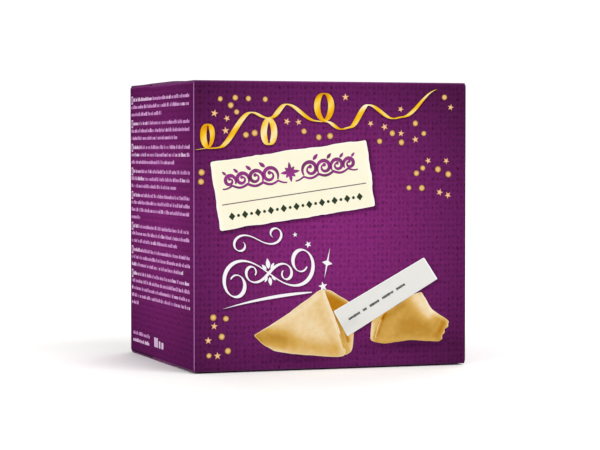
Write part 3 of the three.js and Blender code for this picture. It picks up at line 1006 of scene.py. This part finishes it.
def makeFlourish():
    # Scrolls, an underline (a quadratic curve over three points), leaves and stars, with the strokes' shadows
    look, lines, shells, shades = flourish, [], [], []
    for u, v, length, turns, taller, hand, thin, thick in look["scrolls"]:
        path = turned(scrollLine(length, turns, taller) * [1, hand], look["tilt"], (u, v))
        lines.append((path, penWidth(path, thin, thick, look["lean"])))
    first, bend, last = (np.array(spot) for spot in look["underline"])
    t = np.linspace(0, 1, 80)[:, None]
    path = (1 - t) ** 2 * first + 2 * t * (1 - t) * bend + t ** 2 * last
    lines.append((path, look["underlineWidth"] * np.sin(math.pi * np.linspace(0.03, 0.95, 80) ** 1.4) ** 0.8))
    for k, (path, width) in enumerate(lines):
        lift = layers["stroke"] + look["layer"] * k
        shells.append(strokeShell(path, width, onFront, lift, across=4))
        shades.append(drawnShadow(path, width, onFront, lift - look["shadowBelow"], **look["shadow"]))
    for angle, length in look["leaves"]:
        ends = np.array([[look["leafGap"], 0.0], [look["leafGap"] + 0.5 * length, 0.0]])
        stem, inside = turned(ends, angle, look["leafMiddle"])
        outline = turned(leafOutline(length, look["leafBreadth"] * length), angle, stem)
        shells.append(filledShell(outline, inside, 2, onFront, layers["overPicture"]))
    for u, v, radius, points, notch, breadth, tilt in look["stars"]:
        outline = turned(starOutline(radius, 0.0, points, notch) * [breadth, 1], tilt, (u, v))
        shells.append(filledShell(outline, (u, v), 2, onFront, layers["overPicture"]))
    makePiece("flourish", joined(shells), [whiteInk])
    makePiece("flourishShadow", joined(shades), [mainPrint])


# A baked wafer in four-colour print: from burnt orange in its folds over gold to cream, mottled like crust
biscuitStops = [(0.0, "#9A5F06"), (0.15, "#B8760A"), (0.35, "#C08F3A"), (0.58, "#D9AC58"), (0.8, "#EDCF9A"),
                (1.0, "#F9E9C8")]
biscuitInk = inkFilm("biscuit ink", biscuitStops, "tone", mottle=0.05, scale=0.5)
slipStops = [(0.0, "#CBCDC7"), (0.6, "#E9E8E3"), (1.0, "#FFFFFF")]
slipInk = inkFilm("slip white ink", slipStops, "tone", mottle=0.03, scale=0.2)
greyInk = inkFilm("grey ink", [(0.0, "#4A4A4A"), (1.0, "#7E7E7C")], mottle=0.8, scale=1.6)
picture = {
    # each part has corners (u, v, radius), a middle to fill it from, a lift, a plain tone and brush strokes
    "leftBack": {
        "corners": [(-5.0, 27.0, 1.0), (4.0, 8.0, 1.0), (4.2, 4.7, 1.6), (7.6, 6.2, 1.6), (8.2, 13.0, 0.5),
                    (7.0, 23.9, 0.6), (-1.2, 29.0, 0.9), (-3.8, 29.4, 0.8)],
        "middle": (2.2, 18.0), "lift": 0.07, "base": 0.17,
        "strokes": [([(-3.0, 29.6), (2.0, 27.3), (7.0, 24.5)], 1.2, 0.62),
                    ([(6.6, 16.0), (6.2, 5.0)], 4.2, 0.43), ([(5.2, 12.6), (5.9, 10.2)], 0.5, -0.40),
                    ([(7.7, 12.0), (7.4, 7.4)], 0.9, 0.20)]},
    "leftFront": {
        "corners": [(-30.2, 13.3, 0.9), (-26.8, 10.0, 1.2), (-22.8, 7.5, 1.4), (-14.6, 6.0, 2.5),
                    (-1.0, 4.6, 2.5), (4.6, 4.5, 1.2), (5.2, 6.4, 0.8), (2.2, 15.0, 3.0), (-0.2, 21.4, 2.0),
                    (-2.4, 26.0, 1.4), (-3.4, 29.3, 0.6), (-5.2, 28.8, 0.8), (-14.0, 23.0, 3.0),
                    (-22.6, 17.4, 2.5)],
        "middle": (-7.5, 14.0), "lift": 0.12, "base": 0.80,
        "strokes": [([(-28.6, 12.8), (-19.0, 11.4)], 3.6, -0.42), ([(-14.0, 9.6), (1.0, 6.6)], 3.0, -0.19),
                    ([(-24.0, 8.2), (-18.0, 6.9)], 0.9, 0.10), ([(-23.0, 12.6), (-20.6, 12.0)], 1.2, -0.05),
                    ([(-21.0, 17.4), (-12.0, 22.4), (-6.0, 26.6)], 1.5, 0.08),
                    ([(-12.0, 17.0), (-4.0, 14.0)], 3.0, 0.05),
                    ([(-6.0, 24.0), (-2.4, 15.0), (0.8, 8.4)], 1.5, -0.07),
                    ([(-3.6, 28.2), (-1.0, 21.4), (2.2, 13.2), (4.0, 7.2)], 0.7, 0.13),
                    ([(2.9, 12.6), (4.4, 7.9)], 0.42, -0.46), ([(-29.5, 13.1), (-27.2, 10.6)], 0.8, -0.12),
                    ([(-29.8, 13.5), (-22.6, 17.4)], 0.35, 0.24),
                    ([(-29.9, 13.2), (-27.0, 10.0)], 0.3, 0.22)]},
    "rightBack": {
        "corners": [(14.4, 10.2, 1.0), (17.4, 9.2, 1.0), (22.0, 14.0, 1.0), (24.0, 22.4, 0.5),
                    (15.2, 18.0, 0.5)],
        "middle": (18.0, 14.5), "lift": 0.07, "base": 0.64,
        "strokes": [([(19.0, 17.6), (16.2, 11.0)], 0.6, -0.42), ([(15.3, 16.0), (15.1, 11.0)], 0.8, 0.20)]},
    "rightFront": {
        "corners": [(15.6, 9.5, 0.9), (21.0, 8.9, 1.6), (30.5, 9.9, 3.0), (41.6, 9.1, 0.6), (42.9, 9.9, 0.3),
                    (42.9, 11.3, 0.3), (44.1, 12.3, 0.3), (44.0, 13.5, 0.3), (45.5, 14.3, 0.4),
                    (45.4, 15.5, 0.2), (45.8, 16.3, 0.4), (44.6, 17.4, 0.6), (38.8, 20.8, 1.5),
                    (34.8, 27.6, 0.8), (31.6, 26.6, 1.0), (19.6, 19.8, 1.2), (17.4, 15.4, 1.2)],
        "middle": (29.5, 15.0), "lift": 0.12, "base": 0.43,
        "strokes": [([(33.0, 25.4), (35.8, 21.9), (37.6, 19.8)], 3.0, 0.46),
                    ([(35.2, 26.4), (38.8, 20.4), (44.8, 16.6)], 0.7, 0.22),
                    ([(19.8, 18.4), (27.0, 22.4)], 1.2, -0.12),
                    ([(18.0, 10.0), (30.0, 10.4), (40.0, 9.8)], 0.9, 0.10),
                    ([(28.0, 15.6), (36.0, 14.6)], 3.2, -0.12), ([(43.2, 15.8), (41.0, 11.2)], 1.3, -0.16),
                    ([(18.2, 17.4), (16.2, 11.2)], 0.55, 0.26), ([(19.6, 18.0), (17.4, 12.0)], 0.45, -0.20),
                    ([(20.2, 19.6), (19.2, 18.4)], 0.7, -0.26), ([(45.3, 15.8), (43.0, 10.4)], 0.45, 0.28),
                    ([(43.9, 16.6), (41.9, 12.6)], 0.35, -0.10), ([(42.6, 17.4), (40.2, 13.0)], 0.35, 0.08),
                    ([(21.0, 12.4), (26.0, 18.8)], 2.2, 0.08)]},
    "slip": {
        "corners": [(0.2, 21.2, 0.3), (5.6, 11.9, 0.3), (41.0, 32.2, 0.2), (35.6, 40.2, 0.2)],
        "middle": (20.6, 26.4), "lift": 0.18, "base": 0.58,
        "strokes": [([(0.6, 21.6), (35.6, 40.4), (41.2, 32.2)], 0.35, 0.5),
                    ([(4.0, 15.0), (8.0, 17.5)], 2.4, -0.22), ([(20.0, 19.8), (36.0, 28.8)], 0.9, -0.10)]},
    "crust": 0.07,  # how rough the cookies' outlines are
    "seed": 5,  # of the first part's roughness; each part has the next one
    "spacing": 0.35, "rings": 34,  # of the mesh points round each part, and from its middle outwards
    "rim": (0.985, 0.22),  # from that share of the way out, each part's rim is lighter by that much
    # shadows: of the slip, and the soft pools under the cookies as middle u and v, then reach along each
    "slipShadow": {"offset": (0.5, -0.8), "soft": 1.5, "strength": 0.3},
    "pools": [(-11.0, 4.8, 15.0, 3.0), (29.0, 8.6, 17.0, 2.8)], "pool": 0.42,
    # word lengths in place of the writing, and how unevenly thick each word's bar is
    "words": {"middle": (17.0, 24.3), "tilt": 29.6, "lengths": [5.2, 1.8, 4.4, 5.2, 3.8], "gap": 1.2,
              "height": 0.88, "uneven": (0.6, 1.3), "spacing": 0.2, "seed": 3},
}


def poolShade(middleU, middleV, reachU, reachV, strength):
    # A soft pool of shadow: strength x exp(-a squared - b squared), where a and b are the distances from
    # its middle over its reach
    return lambda u, v: strength * np.exp(-((u - middleU) / reachU) ** 2 - ((v - middleV) / reachV) ** 2)


def makePicture():
    # Each part is a filled outline whose tone is brushed on; the parts overlap from back to front
    first, lighter = picture["rim"]
    for layer, name in enumerate(("leftBack", "leftFront", "rightBack", "rightFront", "slip")):
        look = picture[name]
        isSlip = name == "slip"
        rough = 0.0 if isSlip else picture["crust"]
        outline = torn(cornered(look["corners"], picture["spacing"]), rough, picture["seed"] + layer)
        tone = lambda share, flat: brushed(flat, look["base"], look["strokes"]) + lighter * (share > first)
        shell = filledShell(outline, look["middle"], picture["rings"], onFront, look["lift"], tone=tone)
        makePiece("picture" + name[0].upper() + name[1:], shell, [slipInk if isSlip else biscuitInk])
    for pool in picture["pools"]:
        frontShadows.append(poolShade(*pool, picture["pool"]))
    frontShadows.append(polygonShade(picture["slip"]["corners"], **picture["slipShadow"]))
    words = picture["words"]
    start = -(sum(words["lengths"]) + words["gap"] * (len(words["lengths"]) - 1)) / 2
    draw, shells = np.random.default_rng(words["seed"]), []
    for length in words["lengths"]:
        u = np.arange(start, start + length, words["spacing"])
        line = turned(np.stack([u, 0 * u], axis=-1), words["tilt"], words["middle"])
        width = words["height"] * draw.uniform(*words["uneven"], len(u))
        shells.append(strokeShell(line, width, onFront, layers["writing"], across=2))
        start += length + words["gap"]
    makePiece("slipWriting", joined(shells), [greyInk])


# Small print is left bare in the purple, and the ink round it spreads into it: lilac, and paler where bold
lilacStops = [(0.0, "#AC5CAA"), (0.5, "#EAA6E6"), (1.0, "#FFE6FF")]
lilacInk = inkFilm("lilac tint", lilacStops, "tone", mottle=0.1)
information = {
    "lines": [3, 3, 3, 3, 4, 3, 3, 5],  # lines in each paragraph
    "lastLine": [0.55, 0.82, 0.76, 0.8, 0.17, 0.8, 0.9, 0.13],  # how far its last line runs
    "left": -42.4, "right": 40.6,
    "firstLine": 5.7,  # below the top
    "linePitch": 2.85, "paragraphGap": 0.7,
    "baseline": 0.65,  # below a line's middle
    "letter": (0.45, 0.95), "letterGap": 0.25, "wordGap": 1.1, "shortLetter": 1.0, "tallLetter": 1.4,
    "wordEnds": 0.17, "tallOnes": 0.3, "boldWords": 0.12,  # how often each comes
    "tone": (0.42, 0.14), "tones": (0.05, 0.9), "bolder": 0.35,  # mean and spread, limits, and what bold adds
    "mark": (2.3, 3.1, 0.55), "markTone": 0.7,  # width, height and line of the frame that begins a paragraph
    "markRise": 0.15, "indent": 2.9, "boldStart": (6, 14),  # the words after it are bold over such a length
    "foot": [(8.4, 0.30), (5.6, 0.30)],  # height and share of the width of the two lines at the foot
    "footIndent": 2, "footBaseline": 0.7,
    # left, bottom, right and top of the large blocks beside them
    "quantity": [[-8.5, 5.2, -6.4, 8.8], [-5.7, 5.2, -3.6, 8.8], [-2.0, 5.2, 0.2, 7.8], [1.8, 5.2, 4.4, 7.6]],
    "quantityTone": 0.95,
    "seed": 21,
}


def letterRow(draw, left, right, baseline, bright):
    # One line of blocks in place of letters: random widths, every fourth or so a tall one, a gap after each
    # word. Gives the blocks and the tone of each.
    look = information
    count = int((right - left) / look["letter"][0])
    widths = draw.uniform(*look["letter"], count)
    gaps = np.where(draw.uniform(0, 1, count) < look["wordEnds"], look["wordGap"], look["letterGap"])
    start = left + np.cumsum(widths + gaps) - widths - gaps
    tall = np.where(draw.uniform(0, 1, count) < look["tallOnes"], look["tallLetter"], look["shortLetter"])
    keep = start + widths < right
    blocks = np.stack([start, np.full(count, baseline), start + widths, baseline + tall], axis=-1)[keep]
    word = np.cumsum(gaps == look["wordGap"])
    bold = (start < left + bright) | (draw.uniform(0, 1, count + 1)[word] < look["boldWords"])
    tone = np.clip(draw.normal(*look["tone"], count), *look["tones"]) + np.where(bold, look["bolder"], 0)
    return blocks, tone[keep]


def makeBlocks(name, rows, place, lift):
    # Rows of blocks with their tones, as one piece with flat faces
    blocks, tones = (np.concatenate(part) for part in zip(*rows))
    makePiece(name, blockShell(blocks, place, lift, tone=tones), [lilacInk], smooth=False)


def makeInformation():
    # Paragraphs of letter rows, each after a frame of four blocks, then the lines and blocks at the foot
    look, rows, line = information, [], 0
    draw = np.random.default_rng(look["seed"])
    left, full = look["left"], look["right"] - look["left"]
    wide, tall, thin = look["mark"]
    for paragraph, count in enumerate(look["lines"]):
        for k in range(count):
            middle = height - look["firstLine"] - look["linePitch"] * line - look["paragraphGap"] * paragraph
            share = look["lastLine"][paragraph] if k == count - 1 else 1.0
            indent, bright = (look["indent"], draw.uniform(*look["boldStart"])) if k == 0 else (0.0, 0.0)
            foot = middle - look["baseline"]
            rows.append(letterRow(draw, left + indent, left + share * full, foot, bright))
            if k == 0:
                right, low = left + wide, middle - look["markRise"] - tall / 2
                mark = [[left, low, left + thin, low + tall], [right - thin, low, right, low + tall],
                        [left + thin, low, right - thin, low + thin],
                        [left + thin, low + tall - thin, right - thin, low + tall]]
                rows.append((mark, [look["markTone"]] * 4))
            line += 1
    first = left + look["footIndent"]
    for rise, share in look["foot"]:
        rows.append(letterRow(draw, first, first + share * full, rise - look["footBaseline"], 0.0))
    rows.append((look["quantity"], [look["quantityTone"]] * 4))
    makeBlocks("leftInformation", rows, onLeft, layers["blocks"])


table = {
    "left": -34.0, "right": 34.0, "top": 76.0, "rows": 9, "rowPitch": 5.2,
    "columns": (0.56, 0.78),  # where the inner upright lines stand, as shares of the width
    "baseline": 0.66,  # of a row, as a share of its pitch below its top
    "line": 0.28, "lineTone": 0.6,
    "levelCuts": 24, "uprightCuts": 18,  # a line is so many blocks, to follow the bowed panel
    # the cells' text, as shares of the width: where it begins past its line, with every third row's first
    # cell as a heading, how far the first cell's runs at least and at most, and the other two's
    "indents": (0.03, 0.04, 0.04), "heading": 0.01, "first": (0.26, 0.48), "others": (0.14, 0.15),
    "seed": 8,
}


def makeTable():
    # Level lines with a row of three cells under each but the last, and upright lines
    look, draw, rows = table, np.random.default_rng(table["seed"]), []
    at = lambda share: look["left"] + share * (look["right"] - look["left"])
    second, third = look["columns"]
    across = np.linspace(look["left"], look["right"], look["levelCuts"] + 1)
    up = np.linspace(look["top"] - look["rows"] * look["rowPitch"], look["top"], look["uprightCuts"] + 1)
    for k in range(look["rows"] + 1):
        low = np.full(look["levelCuts"], look["top"] - k * look["rowPitch"])
        rows.append((np.stack([across[:-1], low, across[1:], low + look["line"]], axis=-1),
                     look["lineTone"] + 0 * low))
        if k < look["rows"]:
            base = low[0] - look["baseline"] * look["rowPitch"]
            ends = [draw.uniform(*look["first"]), second + look["others"][0], third + look["others"][1]]
            starts = [look["indents"][0] if k % 3 else look["heading"], second + look["indents"][1],
                      third + look["indents"][2]]
            rows += [letterRow(draw, at(a), at(b), base, 0.0) for a, b in zip(starts, ends)]
    for share in (0.0, second, third, 1.0):
        side = np.full(look["uprightCuts"], at(share))
        rows.append((np.stack([side, up[:-1], side + look["line"], up[1:]], axis=-1),
                     look["lineTone"] + 0 * side))
    makeBlocks("rightTable", rows, onRight, layers["blocks"])


backLabel = {
    "corners": [(-36.0, 24.0, 1.2), (36.5, 24.6, 1.2), (35.8, 74.0, 1.2), (-36.6, 73.2, 1.2)],
    "middle": (0.0, 49.0), "rim": (0.97, 0.02), "tear": 0.12, "seed": 19, "spacing": 0.45, "rings": 30,
    "ornamentMiddle": (0.0, 64.5),
    "lines": 8, "firstLine": 52.0, "linePitch": 3.4,
    "left": -30.0, "right": 30.0, "lastRight": 6.0,  # every fourth line ends a paragraph
    "letterSeed": 31,
}


def makeBack():
    # A paper label with an ornament over lines of letter blocks
    look, draw = backLabel, np.random.default_rng(backLabel["letterSeed"])
    makePaper("backPaper", onBack, look, look["middle"])
    makeOrnament("backOrnament", onBack, look["ornamentMiddle"], 0.0, layers["onPaper"])
    rights = [look["right"] if k % 4 < 3 else look["lastRight"] for k in range(look["lines"])]
    rows = [letterRow(draw, look["left"], right, look["firstLine"] - look["linePitch"] * k, 0.0)[0]
            for k, right in enumerate(rights)]
    makePiece("backInformation", blockShell(np.concatenate(rows), onBack, layers["onPaper"]), [darkInk],
              smooth=False)


makeLabel()
makePicture()
makeFlourish()
frontPath = makeStreamer("front", onFront, mainPrint)
makeConfetti("front", onFront, frontPath, [label["corners"]])
print("front print ready")
makeInformation()
makeTable()
rightPath = makeStreamer("right", onRight, sidePrint)
makeConfetti("right", onRight, rightPath, [])
makeBack()
backPath = makeStreamer("back", onBack, mainPrint)
makeConfetti("back", onBack, backPath, [backLabel["corners"]])
makeConfetti("top", onTop, np.zeros((0, 2)), [])
print("other panels ready")
makeBoard()
print("board ready")
